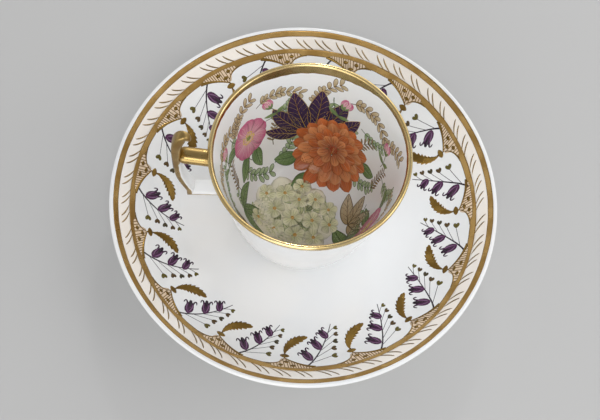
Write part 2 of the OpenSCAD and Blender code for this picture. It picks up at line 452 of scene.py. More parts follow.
# Saucer border: enamel and gold painted by hand over the glaze in fifteen like bays. Each bay has an
# arch, a hatched spandrel, a bead, a drooping leaf and a spray of bellflowers, and feather strokes on an
# ivory ground lie outside. Every stroke is its own thin film, drawn flat in millimetres from above.
film_step = 0.004 * MM
least_half_width = 0.01


def left_of(way):
    """The direction to the left of a flat direction."""
    return np.array((-way[1], way[0]))


def unit(way):
    """A direction of length one."""
    return np.asarray(way, float) / np.linalg.norm(way)


def lefts(path):
    """The directions to the left of a path at its points."""
    aim = np.gradient(path, axis=0)
    aim /= np.linalg.norm(aim, axis=1, keepdims=True)
    return np.column_stack([-aim[:, 1], aim[:, 0]])


def stroke(path, half_widths, root, tip=None, columns=2, layer=0, edge=0.0):
    """A brush stroke along a path, with half widths for both sides or each, shaded from root to tip."""
    path = np.asarray(path, float)
    sides = np.maximum(np.broadcast_to(np.atleast_2d(half_widths), (2, len(path))), least_half_width)
    share = np.linspace(-1, 1, columns + 1)
    reach = share * np.where(share < 0, sides[0][:, None], sides[1][:, None])
    run = run_of(path)
    run = np.broadcast_to((run / run[-1])[:, None], reach.shape)
    blend = np.asarray(root) + (np.asarray(root if tip is None else tip) - np.asarray(root)) * run[..., None]
    return {
        "flat": path[:, None] + lefts(path)[:, None] * reach[..., None],
        "layer": layer,
        "pigment": blend * (1 - edge * np.abs(share) ** 3)[:, None],
        "brush": np.stack([np.broadcast_to(share / 2 + 0.5, reach.shape), run], -1)}


def lens(width, steps, fat=0.5, blunt=0.7):
    """Half widths of a stroke that is widest at the share fat. Its ends are blunter for a lower blunt."""
    share = np.linspace(0, 1, steps + 1) ** (math.log(0.5) / math.log(fat))
    return width / 2 * np.maximum(np.sin(np.pi * share), 0) ** blunt


def touch(pulls, steps, width, root, tip=None, fat=0.5, blunt=0.7, **rest):
    """A stroke along a curve, drawn out at both ends."""
    return stroke(bezier(pulls, steps), lens(width, steps, fat, blunt), root, tip, **rest)


def dot(middle, half_length, half_width, root, layer, way=(0, 1)):
    """A touch of the brush tip: an oval that lies along a direction."""
    share = np.linspace(-1, 1, 9)
    path = np.asarray(middle) + np.outer(share * half_length, way)
    return stroke(path, half_width * np.sqrt(np.maximum(1 - share ** 2, 0)), root, layer=layer)


def painted(name, strokes):
    """One flat object of closed strokes, each raised by its layer, with their pigments and brush map."""
    points, faces, pigments, brush = [], [], [], []
    count = 0
    for made in strokes:
        rows, columns = made["flat"].shape[:2]
        for lift in (film + made["layer"] * film_step, -film):
            flat = made["flat"].reshape(-1, 2) * MM
            points.append(np.column_stack([flat, np.full(len(flat), lift)]))
            pigments.append(made["pigment"].reshape(-1, 3))
            brush.append(made["brush"].reshape(-1, 2))
        faces.append(shell_faces(rows, columns) + count)
        count += 2 * rows * columns
    obj = shown(name, np.vstack(points), np.vstack(faces))
    colours = np.column_stack([np.vstack(pigments), np.ones(count)]).astype(np.float32)
    obj.data.attributes.new("pigment", "FLOAT_COLOR", "POINT").data.foreach_set("color", colours.ravel())
    corners = np.empty(len(obj.data.loops), np.int32)
    obj.data.loops.foreach_get("vertex_index", corners)
    brush_map = obj.data.uv_layers.new(name="brush")
    brush_map.data.foreach_set("uv", np.vstack(brush)[corners].astype(np.float32).ravel())
    return obj


lay_tree, given, result = group(
    "lay_on_glaze",
    {"Drawing": "Geometry", "Body": "Object", "From Inside": "Bool", "Copies": "Int", "First Turn": "Float",
     "Rise": "Float", "Reach": "Float", "Middle Height": "Float", "Tilt": "Float", "Stray Turn": "Float",
     "Stray Tilt": "Float", "Stray Size": "Float", "Seed": "Int", "Finish": "Material"},
    {"Painting": "Geometry"}, "GeometryNodeTree")
lay_tree.is_modifier = True


def step(kind, inputs=None, **settings):
    """The first result of a node in the laying tree."""
    return put(lay_tree, kind, inputs, **settings).outputs[0]


def count_with(operation, a, b=0.0):
    """The result of a sum in the laying tree."""
    return math_of(lay_tree, operation, a, b)


def point_of(x=0.0, y=0.0, z=0.0):
    """A point in the laying tree."""
    return step("ShaderNodeCombineXYZ", {"X": x, "Y": y, "Z": z})


def inside_or(kind, inside, outside):
    """One of two values, for drawings laid from inside a bowl or let down from above."""
    ends = {"Switch": given["From Inside"], "False": outside, "True": inside}
    return step("GeometryNodeSwitch", ends, input_type=kind)


def stray(amount, shift):
    """A small random share of an amount for each copy."""
    seed = count_with("ADD", given["Seed"], shift)
    ends = {2: count_with("MULTIPLY", amount, -1.0), 3: amount, "Seed": seed}
    return put(lay_tree, "FunctionNodeRandomValue", ends, data_type="FLOAT").outputs[1]


def coordinates():
    """The place of each point in the laying tree, and its coordinates."""
    spot = step("GeometryNodeInputPosition")
    return spot, put(lay_tree, "ShaderNodeSeparateXYZ", {0: spot}).outputs


pitch = count_with("DIVIDE", 2 * math.pi, given["Copies"])
turn = count_with("MULTIPLY", step("GeometryNodeInputIndex"), pitch)
turn = count_with("ADD", count_with("ADD", turn, given["First Turn"]), stray(given["Stray Turn"], 0.0))
level = count_with("MULTIPLY", given["Reach"], count_with("COSINE", given["Rise"]))
climb = count_with("MULTIPLY", given["Reach"], count_with("SINE", given["Rise"]))
anchors = step("GeometryNodePoints", {"Count": given["Copies"], "Position": point_of(
    count_with("MULTIPLY", level, count_with("COSINE", turn)),
    count_with("MULTIPLY", level, count_with("SINE", turn)),
    count_with("ADD", given["Middle Height"], climb))})
facing = step("FunctionNodeEulerToRotation", {0: point_of(
    inside_or("FLOAT", count_with("ADD", given["Rise"], math.pi / 2), 0.0), 0.0,
    inside_or("FLOAT", count_with("SUBTRACT", turn, math.pi / 2), turn))})
tilted = step("FunctionNodeEulerToRotation", {0: point_of(
    z=count_with("ADD", given["Tilt"], stray(given["Stray Tilt"], 1.0)))})
lift = {"Geometry": given["Drawing"], "Name": "lift", "Value": coordinates()[1]["Z"]}
copies = step("GeometryNodeInstanceOnPoints", {
    "Points": anchors,
    "Instance": step("GeometryNodeStoreNamedAttribute", lift, data_type="FLOAT", domain="POINT"),
    "Rotation": step("FunctionNodeRotateRotation", {0: facing, 1: tilted}, rotation_space="LOCAL"),
    "Scale": count_with("ADD", 1.0, stray(given["Stray Size"], 2.0))})
tone = {"Geometry": copies, "Name": "hand_tone", "Value": stray(1.0, 3.0)}
toned = step("GeometryNodeStoreNamedAttribute", tone, data_type="FLOAT", domain="INSTANCE")
real = step("GeometryNodeRealizeInstances", {0: toned})
spot, axes = coordinates()
middle = point_of(z=given["Middle Height"])
outwards = vector_of(lay_tree, "SUBTRACT", spot, middle)
ray = put(lay_tree, "GeometryNodeRaycast", {
    "Target Geometry": put(lay_tree, "GeometryNodeObjectInfo", {"Object": given["Body"]}).outputs["Geometry"],
    "Source Position": inside_or("VECTOR", middle, point_of(axes["X"], axes["Y"], 1.0)),
    "Ray Direction": inside_or("VECTOR", outwards, (0, 0, -1))}).outputs
height = step("GeometryNodeInputNamedAttribute", {"Name": "lift"}, data_type="FLOAT")
lifted = vector_of(lay_tree, "SCALE", ray["Hit Normal"], height)
on_glaze = vector_of(lay_tree, "ADD", ray["Hit Position"], lifted)
settled = step("GeometryNodeSetPosition", {"Geometry": real, "Position": on_glaze})
plain = step("GeometryNodeRemoveAttribute", {"Geometry": settled, "Name": "lift"})
glossed = step("GeometryNodeSetMaterial", {"Geometry": plain, "Material": given["Finish"]})
feed(lay_tree, result, Painting=glossed)


def settled_mesh(obj):
    """The plain mesh of an object with its modifiers applied. The modifiers are removed."""
    mesh = bpy.data.meshes.new_from_object(obj.evaluated_get(bpy.context.evaluated_depsgraph_get()))
    obj.modifiers.clear()
    return mesh


def lay(name, strokes, part, finish, body, strays=(0, 0, 0), **values):
    """Lays copies of a flat drawing on a body's glaze as one plain mesh. Angles are in degrees."""
    values = {key.replace("_", " "): value for key, value in values.items()}
    values.update(zip(("Stray Turn", "Stray Tilt", "Stray Size"), map(float, strays)))
    for key in ("First Turn", "Rise", "Tilt", "Stray Turn", "Stray Tilt"):
        values[key] = math.radians(values.get(key, 0))
    values.update({"Body": body, "Finish": finish})
    drawing = painted(name, strokes)
    modifier = drawing.modifiers.new("lay", "NODES")
    modifier.node_group = lay_tree
    for item in lay_tree.interface.items_tree:
        if item.name in values:
            modifier[item.identifier] = values[item.name]
    drawing.data = settled_mesh(drawing)
    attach(drawing, part)
    return drawing


enamel_ior = 1.38
enamel_rough = (0.16, 0.32)
hair_stretch = (7.0, 0.9, 1.0)
hair_shift = 60.0
hair_scale = 1.6
hair_limits = (0.42, 0.75)
hair_gloss = (0.3, 0.8)
hair_strength = 0.1
tone_share = 0.18

enamel_group, given, result = group(
    "brushed_enamel",
    {"Streaks": "Float", "Thinned": "Color"},
    {"Colour": "Color", "Roughness": "Float", "Ridges": "Float"})
tree = enamel_group
pigment = put(tree, "ShaderNodeAttribute", attribute_name="pigment").outputs["Color"]
hand_tone = put(tree, "ShaderNodeAttribute", attribute_name="hand_tone").outputs["Fac"]
brush_uv = put(tree, "ShaderNodeUVMap", uv_map="brush").outputs[0]
where = place_on(tree)
stretched = vector_of(tree, "MULTIPLY", brush_uv, hair_stretch)
shifted = vector_of(tree, "SCALE", where, hair_shift)
hairs = noise(tree, vector_of(tree, "ADD", stretched, shifted), hair_scale, 3.0, 0.6)
by_hand = math_of(tree, "MULTIPLY", hand_tone, tone_share)
thin = math_of(tree, "ADD", between(tree, hairs, *hair_limits), by_hand)
thin = math_of(tree, "MULTIPLY", thin, given["Streaks"], clamp=True)
feed(tree, result,
     Colour=mixed(tree, thin, pigment, given["Thinned"]),
     Roughness=between(tree, hairs, *hair_gloss, *enamel_rough),
     Ridges=hairs)


def enamel(name, streaks, thinned):
    """Glossy enamel in the strokes' own pigments, thinned along the hairs of the brush."""
    made, tree, shader = finish_of(name, IOR=enamel_ior)
    coat = placed(tree, enamel_group, Streaks=streaks, Thinned=thinned)
    feed(tree, shader, Base_Color=coat["Colour"], Roughness=coat["Roughness"],
         Normal=bumped(tree, coat["Ridges"], hair_strength, grain_depth))
    return made


def polar(turn, radius, anchor=0.0):
    """A flat point at a clockwise turn in degrees and a radius, seen from an anchor at turn 0."""
    turn = np.radians(turn)
    return np.stack([radius * np.cos(turn) - anchor, -radius * np.sin(turn)], -1)


def polar_line(pulls, steps, anchor=0.0):
    """A curve whose pulling points are turns and radii."""
    line = bezier(pulls, steps)
    return polar(line[:, 0], line[:, 1], anchor)


ground_tuck = 0.15 * MM
ground_lift = 0.75 * film
ivory = (0.92, 0.85, 0.77, 1)
ivory_pooled = (0.93, 0.89, 0.84, 1)
ground_edges = (inner_band[1] - ground_tuck, outer_band[0] + ground_tuck)
ground = dish_ring("border_ground", ground_edges, lift=ground_lift)
ground_finish, tree, shader = finish_of("border_ivory", IOR=glaze_ior)
glaze, ripple = glazed(tree, ivory, ivory_pooled)
feed(tree, shader, Base_Color=glaze["Colour"], Roughness=glaze["Roughness"], Normal=ripple)
ground.data.materials.append(ground_finish)
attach(ground, "saucer")

brown_gold = (0.34, 0.20, 0.06)
feather_pairs = 52
feather_r = 67
feather_w = 0.46
feather_steps = 8
feathers = []
for shift, top in ((0.0, 68.5), (2.35, 68.3)):
    path = polar_line([(shift, top), (shift + 1.1, 66.6), (shift + 4.3, 65.3)], feather_steps, feather_r)
    half = lens(feather_w, feather_steps, 0.4, 0.45)
    feathers.append(stroke(path, half, brown_gold, columns=1, layer=2))

bead_r = 58.9
bead_w = 1.7
bead_turn = 1.75
bead_steps = 12
bead_bar = (60.2, 57.6)
swell_steps = 17
hatch_w = 0.32
hatch_span = (-10, 4.6)
hatch_pitch = 0.95
hatch_lean = 0.3
hatch_top = 64.5
hatch_limit = 63.7
arcade = []
for start, end, swelling in ((-10.5, -0.2, 0.75), (6.5, 0.2, 0.4)):
    turns, inwards, outwards = [
        np.linspace(*ends, swell_steps + 1) for ends in ((start, end), (0.22, 0.17), (swelling, 0.15))]
    sides = (inwards, outwards) if start < end else (outwards, inwards)
    arcade.append(stroke(polar(turns, arch_r(turns)), sides, brown_gold, layer=3))
for turn in np.arange(*hatch_span, hatch_pitch):
    foot = arch_r(turn)
    if foot < hatch_limit:
        path = bezier([polar(turn - hatch_lean * (hatch_top - foot), hatch_top), polar(turn, foot)], 4)
        arcade.append(stroke(path, hatch_w / 2, brown_gold, columns=1, layer=2))
for turn, radius in ((-3.2, 63.25), (0.9, 63.25), (-0.8, 61.7)):
    arcade.append(dot(polar(turn, radius), 0.95, 0.52, brown_gold, 4))
oval = polar_line([(-bead_turn, bead_r), (bead_turn, bead_r)], bead_steps)
arcade.append(stroke(oval, lens(bead_w, bead_steps, 0.5, 0.65), brown_gold, columns=4, layer=5))
arcade.append(stroke(polar_line([(0, end) for end in bead_bar], 4), 0.24, brown_gold, layer=4))

peach = (0.74, 0.57, 0.40)
wash_top = 64.6
wash_limit = 64.4
wash_span = (-10.5, 6)
wash_turns = np.linspace(*wash_span, 40)
wash_low = np.minimum(arch_r(wash_turns), wash_limit)
wash = [stroke(polar(wash_turns, (wash_low + wash_top) / 2), (wash_top - wash_low) / 2, peach, columns=4)]

leaf_steps = 90
leaf_w = 3.7
leaf_teeth = 9
leaf_path = polar_line([(0.1, 58.3), (0.2, 54.0), (-3.0, 51.2), (-9.4, 50.2)], leaf_steps, bead_r)
leaf_width = lens(leaf_w, leaf_steps, 0.6, 0.6)
tooth = np.linspace(0, leaf_teeth, leaf_steps + 1)
bite = np.clip(tooth / 4, 0, 1)
left_teeth = leaf_width * (1 - bite * (0.32 - 0.44 * (tooth ** 0.95 % 1)))
right_teeth = leaf_width * (1 - bite * (0.28 - 0.38 * ((tooth + 0.45) % 1)))
leaf = [stroke(leaf_path, (left_teeth, right_teeth), brown_gold, columns=4, layer=1)]

stem_ink = (0.022, 0.014, 0.024)
aubergine = (0.040, 0.006, 0.036)
mulberry = (0.082, 0.015, 0.072)
lilac = (0.21, 0.10, 0.205)
pistil_ink = (0.009, 0.002, 0.009)
olive = (0.105, 0.085, 0.012)
umber = (0.080, 0.045, 0.016)
soot = (0.045, 0.038, 0.018)
spray_r = 54
stem_steps = 40
stem = bezier([(16.0, 63.2), (12.7, 60.2), (8.8, 53.6), (3.9, 46.0)], stem_steps)
stem_width = np.linspace(0.31, 0.13, stem_steps + 1)
sprays = [stroke(polar(stem[:, 0], stem[:, 1], spray_r), stem_width, stem_ink, layer=1)]
hearts = []
for share, turn, radius, size, tone in (
        (0.17, 6.0, 59.3, 2.2, olive), (0.34, 5.3, 56.0, 2.05, umber), (0.50, 4.0, 53.2, 1.95, soot),
        (0.69, 2.9, 50.4, 1.8, umber), (0.86, 2.2, 47.9, 1.65, olive)):
    point = np.array((turn + 1.1, radius))
    start = stem[int(share * stem_steps)]
    stalk = bezier([start, start * 0.4 + point * 0.6 + (0, -0.25), point], 10)
    sprays.append(stroke(polar(stalk[:, 0], stalk[:, 1], spray_r), 0.09, stem_ink, columns=1))
    point = polar(*point, spray_r)
    out = unit(polar(turn - 1, radius, spray_r) - point) * size
    for sign in (-1, 1):
        side = left_of(out) * sign
        lobe = [point, point + out * 0.55 + side * 0.3, point + out + side * 0.23]
        hearts.append(touch(lobe, 10, size * 0.5, tone, fat=0.62, blunt=0.5, layer=2 + (sign > 0)))

bell_steps = 18
curl_steps = 16
bell_share = np.linspace(0, 1, bell_steps + 1)
bell_width = np.interp(bell_share, (0, 0.06, 0.2, 0.42, 0.65, 0.86, 1), (0, 0.42, 0.82, 1, 0.96, 0.76, 0.45))
curl_share = np.linspace(0, 1, curl_steps + 1)
curl_width = np.interp(curl_share, (0, 0.3, 0.7, 0.88, 1), (0.36, 0.28, 0.20, 0.24, 0.06))
flowers = []
for base, end, width in (
        ((13.9, 60.5), (17.4, 55.7), 3.3), ((10.0, 55.8), (13.5, 51.1), 3.1),
        ((6.5, 51.4), (9.7, 47.7), 2.75)):
    foot = polar(*base, spray_r)
    axis = polar(*end, spray_r) - foot
    side = left_of(unit(axis)) * width / 2
    body = foot + np.outer(bell_share * 0.86, axis)
    flowers.append(stroke(body, bell_width * width / 2, mulberry, aubergine, 6, 2, 0.45))
    for lean, tone, fat in ((-0.6, lilac, 0.13), (0.05, aubergine, 0.32), (0.62, lilac, 0.1)):
        streak = [foot + axis * 0.1, foot + axis * 0.45 + side * lean * 1.5,
                  foot + axis * 0.84 + side * lean * 0.8]
        flowers.append(touch(streak, 10, width * fat, tone, layer=3))
    tongue = [foot + axis * 0.5, foot + axis * 0.8 - side * 0.1, foot + axis * 1.04 + side * 0.12]
    flowers.append(touch(tongue, 10, width * 0.38, pistil_ink, fat=0.62, blunt=0.5, layer=5))
    for sign in (-1, 1):
        curl = bezier([foot + axis * out + side * sign * aside for out, aside in (
            (0.7, 0.6), (0.98, 0.74), (1.1, 1.34), (0.76, 1.42))], curl_steps)
        flowers.append(stroke(curl, curl_width, aubergine, pistil_ink, layer=4))

border_gold = gilding("border_gold", 0.1, bright=(0.28, 0.17, 0.044, 1), rubbed=(0.18, 0.105, 0.026, 1))
feather_gold = gilding("feather_gold", 0.1, bright=(0.30, 0.21, 0.092, 1), rubbed=(0.21, 0.142, 0.06, 1))
dense_enamel = enamel("border_enamel", 0.24, (0.24, 0.12, 0.23, 1))
heart_enamel = enamel("border_hearts", 0.3, (0.27, 0.20, 0.075, 1))
line_enamel = enamel("border_lines", 0.15, (0.25, 0.21, 0.26, 1))
wash_enamel = enamel("border_wash", 0.7, (0.79, 0.68, 0.55, 1))
for name, strokes, finish, copies, reach, strays in (
        ("border_wash", wash, wash_enamel, bays, 0, (0, 0, 0)),
        ("border_arcade", arcade, border_gold, bays, 0, (0, 0, 0)),
        ("border_leaves", leaf, border_gold, bays, bead_r, (0.2, 2.5, 0.05)),
        ("border_feathers", feathers, feather_gold, feather_pairs, feather_r, (0.6, 3, 0.07)),
        ("border_stems", sprays, line_enamel, bays, spray_r, (0.4, 1.5, 0.02)),
        ("border_hearts", hearts, heart_enamel, bays, spray_r, (0.4, 1.5, 0.02)),
        ("border_bellflowers", flowers, dense_enamel, bays, spray_r, (0.4, 1.5, 0.02))):
    piece = lay(name, strokes, "saucer", finish, saucer, strays,
                Copies=copies, First_Turn=-first_bead, Reach=reach * MM, Seed=7)


# Cup bowl: white porcelain, thrown thin and turned with its foot ring in one piece, and glazed inside
# and out. It stands loose on the saucer's floor.
cup_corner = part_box("cup_bowl")[1]
cup_r = cup_corner.x
cup_z = dish_floor_z
cup_h = cup_corner.z - cup_z
heel_r = 24.4 * MM
cup_foot_h = 4 * MM
cup_foot_r = 22.5 * MM
cup_foot_w = 3 * MM
heel_drop = 1 * MM
belly_out = 3.2 * MM
belly_rise = 4.8 * MM
flare_in = 3.8 * MM
flare_drop = 17 * MM
cup_wall = 2.3 * MM
cup_lip = 1.6 * MM
cup_base = 3 * MM
well_r = 13 * MM
well_steps = 10
inside_steps = 72
outside_steps = 60

lip_z = cup_z + cup_h - cup_lip / 2
inside_z = cup_z + cup_foot_h + cup_base
flare_z = cup_z + cup_h - flare_drop
bowl_outside = bezier([
    (heel_r, cup_z + cup_foot_h), (heel_r + belly_out, cup_z + cup_foot_h + belly_rise),
    (cup_r - flare_in, flare_z), (cup_r, lip_z)], outside_steps)
bowl_inside = np.vstack([
    bezier([(0, inside_z), (well_r, inside_z)], well_steps)[:-1],
    bezier([(well_r, inside_z), (heel_r + belly_out - cup_wall, inside_z),
            (cup_r - flare_in - cup_wall, flare_z), (cup_r - cup_lip, lip_z)], inside_steps)])
bowl_lip = arc((cup_r - cup_lip / 2, lip_z), cup_lip / 2, 180, 0, lip_steps)
bowl = turned("cup_body", np.vstack([
    bowl_inside, bowl_lip[1:], bowl_outside[::-1][1:],
    foot_ring(cup_foot_r, cup_foot_w, cup_z, cup_z + cup_foot_h - heel_drop, cup_z + cup_foot_h),
    [[0, cup_z + cup_foot_h]]]))
bowl.data.materials.append(porcelain("cup_porcelain", cup_z))
bowl.data.set_sharp_from_angle(angle=sharp_edge)
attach(bowl, "cup")
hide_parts("cup_bowl")


# Lip gilding: burnished gold brushed round the cup's lip and fired over the glaze. It runs further down
# inside at the back of the bowl than elsewhere.
lip_gilt_inside = 1.1 * MM
lip_gilt_behind = 3.1 * MM
lip_gilt_outside = 1.8 * MM
lip_wavers = (0.12 * MM, 0.06 * MM)
behind_turn = 92
behind_hold = 1.6
behind_fade = 32
lip_turns = np.degrees(full_turn(film_sides))
behind = eased(behind_hold - np.abs(lip_turns - behind_turn) / behind_fade)
lip_depth = lip_gilt_inside + (lip_gilt_behind - lip_gilt_inside) * behind
lip_line = np.vstack([bowl_inside, bowl_lip[1:], bowl_outside[::-1][1:]])
lip_start = run_of(bowl_inside)[-1]
lip_end = lip_start + math.pi * cup_lip / 2
lip_gold = film_ring("cup_lip_gold", lip_line, lip_start - lip_depth, lip_end + lip_gilt_outside,
                     lip_wavers, columns=28)
# The lip's gold is real gilding, but it is drawn paler than the bands' gold: that extra pallor is a painted
# highlight for the light that the rounded lip reflects.
lip_gold.data.materials.append(
    gilding("lip_gold", 0.08, bright=(0.79, 0.62, 0.31, 1), rubbed=(0.60, 0.44, 0.19, 1), polish=0.16))
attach(lip_gold, "cup")
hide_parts("cup_lip_gilding")


# Handle: porcelain moulded in one piece with a lower strut, a strap, a curled spur and an upper strut,
# and luted to the bowl with slip. The spur, the upper strut and the strap's outer side are gilded.
upper_z = 42.4 * MM
upper_rise = 1 * MM
upper_w = 6.2 * MM
upper_t = 4.4 * MM
shoulder_reach = 46.4 * MM
heel_reach = 42.8 * MM
heel_z = 14.6 * MM
heel_h = 2.6 * MM
strap_drop = 14.4 * MM
lower_rise = 3.2 * MM
strap_w = 5.8 * MM
strap_t = 2.9 * MM
tip_z = 12.8 * MM
tip_reach = 41.2 * MM
hook_rise = 4.4 * MM
hook_out = 1.5 * MM
spur_run = 15 * MM
spur_t = 3.7 * MM
spur_w = 4.4 * MM
tip_w = 1.6 * MM
tip_t = 1 * MM
root_sink = 0.7 * MM
strap_power = 0.55
strut_power = 0.8
section_sides = 44
spur_steps = 60
strap_steps = 40
heel_steps = 6
lower_steps = 24
strut_steps = 20
tongue_steps = 8
tongue_taper = 0.9 * MM
moulded_edge = math.radians(42)


def bowl_reach(height):
    """The bowl's outer radius at a height above the cup's foot."""
    return np.interp(height + cup_z, bowl_outside[:, 1], bowl_outside[:, 0])


def swell(start, middle, end, share):
    """A size that goes from start through middle to end."""
    near, far = 1 - share, 1 - 2 * share
    return start * near * far + 4 * middle * share * near - end * share * far


def swept(name, line, sizes, power):
    """A rounded bar along a line of [reach, height above the foot], with mitres. Power 1 makes it round."""
    angle = full_turn(section_sides)
    circle = np.array([np.cos(angle), np.sin(angle)])
    rounded = np.sign(circle) * np.abs(circle) ** power / 2
    ways = [unit(way) for way in np.diff(line, axis=0)]
    rings = []
    for spot, (width, thick), before, after in zip(line, sizes, ways[:1] + ways, ways + ways[-1:]):
        way = unit(before + after)
        flat = spot + np.outer(rounded[1] * thick, left_of(way) / (way @ before))
        rings.append(np.column_stack([-flat[:, 0], rounded[0] * width, flat[:, 1] + cup_z]))
    return tube(name, np.array(rings), rings[0].mean(0), rings[-1].mean(0))


shoulder = np.array((shoulder_reach, upper_z + upper_rise))
heel = np.array((heel_reach, heel_z))
lower_root = np.array((bowl_reach(heel_z + lower_rise) - root_sink, heel_z + lower_rise))
tip = np.array((tip_reach, shoulder[1] + tip_z))
spur = bezier([tip, tip + (hook_out, hook_rise), shoulder + (0, spur_run), shoulder], spur_steps)
strap_pull = shoulder - (0, strap_drop)
strap_foot = heel + (0, heel_h)
strap = np.vstack([
    bezier([shoulder, strap_pull, strap_pull, strap_foot], strap_steps),
    bezier([strap_foot, heel], heel_steps)[1:]])
strap_line = np.vstack([spur, strap[1:], bezier([heel, lower_root], lower_steps)[1:]])
share = np.linspace(0, 1, spur_steps + 1)
strap_sizes = np.vstack([
    np.column_stack([swell(tip_w, spur_w, strap_w, share), swell(tip_t, spur_t, strap_t, share)]),
    np.tile((strap_w, strap_t), (len(strap_line) - len(spur), 1))])
upper_root = np.array((bowl_reach(upper_z) - root_sink, upper_z))
outwards = unit(shoulder - upper_root)
tongue_root = shoulder - outwards * (strap_t + upper_t) / 2
strut_line = np.vstack([
    bezier([upper_root, tongue_root], strut_steps),
    bezier([tongue_root, shoulder - outwards * strap_t / 2], tongue_steps)[1:],
    [shoulder]])
tongue = np.linspace(0, 1, tongue_steps + 1)[1:, None]
strut_sizes = np.vstack([
    np.tile((upper_w, upper_t), (strut_steps + 1, 1)),
    np.array((upper_w, upper_t)) - tongue ** 3 * tongue_taper,
    [(strap_w / 2, strap_t)]])
handle = swept("cup_handle", strap_line, strap_sizes, strap_power)
strut = swept("upper_strut", strut_line, strut_sizes, strut_power)
fuse = handle.modifiers.new("fuse", "BOOLEAN")
fuse.operation = "UNION"
fuse.solver = "EXACT"
fuse.object = strut
fused = settled_mesh(handle)
handle.data = fused
bpy.data.objects.remove(strut)
fused.shade_smooth()
fused.set_sharp_from_angle(angle=moulded_edge)

strap_gilt = -0.8 * MM
lower_gilt = 0.0 * MM
upper_gilt = -2.5 * MM
edge_soft = 0.12 * MM
edge_shake = 0.5 * MM
shake_scale = 300.0
handle_bright = (0.44, 0.31, 0.12, 1)
handle_rubbed = (0.31, 0.20, 0.07, 1)


def left_by(points, start, end):
    """How far points of [reach, height] lie to the left of a line."""
    return (points - start) @ left_of(unit(end - start))


spots = np.empty(len(fused.vertices) * 3, np.float32)
fused.vertices.foreach_get("co", spots)
spots = spots.reshape(-1, 3) * (-1, 0, 1) - (0, 0, cup_z)
side_on = spots[:, [0, 2]]
past_strap = side_on[:, 0] - np.interp(side_on[:, 1], strap[::-1, 1], strap[::-1, 0])
gilt_reach = np.max([
    past_strap - strap_gilt,
    left_by(side_on, heel, lower_root) - lower_gilt,
    left_by(side_on, upper_root, shoulder) - upper_gilt], axis=0)
gilt_map = fused.attributes.new("gilt_reach", "FLOAT", "POINT")
gilt_map.data.foreach_set("value", gilt_reach.astype(np.float32))
handle_finish, tree, shader = finish_of("handle_gilded_porcelain", IOR=glaze_ior)
glaze, ripple = glazed(tree)
gold = placed(
    tree, gold_group, Bright=handle_bright, Rubbed=handle_rubbed, Ground=gold_ground, Wear=0.06, Polish=0.06)
where = place_on(tree)
shake = math_of(tree, "SUBTRACT", noise(tree, where, shake_scale), 0.5)
reach = put(tree, "ShaderNodeAttribute", attribute_name="gilt_reach").outputs["Fac"]
reach = math_of(tree, "ADD", reach, math_of(tree, "MULTIPLY", shake, edge_shake))
gilt = between(tree, reach, -edge_soft / 2, edge_soft / 2)
feed(tree, shader,
     Base_Color=mixed(tree, gilt, glaze["Colour"], gold["Colour"]),
     Metallic=math_of(tree, "MULTIPLY", gilt, gold["Metal"]),
     Roughness=put(tree, "ShaderNodeMix", {0: gilt, 2: glaze["Roughness"], 3: gold["Roughness"]}).outputs[0],
     Normal=ripple)
handle.data.materials.clear()
handle.data.materials.append(handle_finish)
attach(handle, "cup")
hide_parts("handle")


# Bowl painting: garden flowers in enamels and gold, painted by hand inside the bowl and fired over the
# glaze. Each group is drawn flat in millimetres and laid on the wall from the middle of the bowl.
paint_middle = 45 * MM
paint_reach = 31 * MM
petal_steps = 12
petal_reach = (0.92, 1.05)
petal_shade = (0.82, 1.12)
petal_vein_w = 0.2
blade_steps = 24
blade_fat = 0.42
blade_blunt = 0.8
blade_line_w = 0.24
midrib_half_w = (0.2, 0.08)
vein_w = 0.14
vein_span = (3, 17)
vein_climb = 4
sprig_steps = 40
sprig_span = (6, 39)
sprig_half_w = (0.16, 0.07)
leaflet_steps = 8
leaflet_reach = (0.75, 1.15)
leaflet_line_w = 0.18
hand = np.random.default_rng(11)


def heading(angle):
    """The flat direction at an angle."""
    return np.array((math.cos(angle), math.sin(angle)))


def petal_ring(count, inner, outer, width, root, tip, layer, turn=0.0, middle=(0, 0), fat=0.62, blunt=0.55):
    """A ring of petals round a middle, each a little different."""
    ring = []
    for k in range(count):
        way = heading(math.radians(turn + 360 * k / count + hand.normal(0, 90 / count / 5)))
        reach = way * outer * hand.uniform(*petal_reach)
        sway = left_of(way) * hand.normal(0, width * 0.1)
        shade = hand.uniform(*petal_shade)
        petal = [middle + way * inner, middle + reach * 0.6 + sway, middle + reach]
        ring.append(touch(petal, petal_steps, width, np.multiply(root, shade), np.multiply(tip, shade),
                          fat, blunt, columns=6, layer=layer + k % 3, edge=0.3))
        for lean in (-0.2, 0.2):
            aside = left_of(way) * lean * width
            vein = [middle + way * inner * 1.2, middle + reach * 0.6 + aside,
                    middle + reach * 0.86 + aside * 0.6]
            ring.append(touch(vein, 8, petal_vein_w, np.multiply(root, 0.8), columns=1, layer=layer + 3))
    return ring


def leaf_blade(base, tip, bow, width, root, tip_tone, layer, ink, veins=6):
    """The fill of a leaf, and then its midrib, outline and veins in another tone."""
    base, tip = np.asarray(base, float), np.asarray(tip, float)
    path = bezier([base, (base + tip) / 2 + left_of(tip - base) * bow, tip], blade_steps)
    half = lens(width, blade_steps, blade_fat, blade_blunt)
    across = lefts(path)
    strokes = [stroke(path, half, root, tip_tone, 8, layer, 0.2),
               stroke(path, np.linspace(*midrib_half_w, blade_steps + 1), ink, layer=layer + 1)]
    for sign in (-1, 1):
        rim = path + across * half[:, None] * sign
        strokes.append(stroke(rim, blade_line_w / 2, ink, columns=1, layer=layer + 1))
        for i in np.linspace(*vein_span, veins).astype(int):
            far = i + vein_climb
            end = path[far] + across[far] * half[far] * 0.85 * sign
            vein = bezier([path[i], (path[i + 2] + end) / 2, end], 6)
            strokes.append(stroke(vein, vein_w / 2, ink, columns=1, layer=layer + 1))
    return strokes


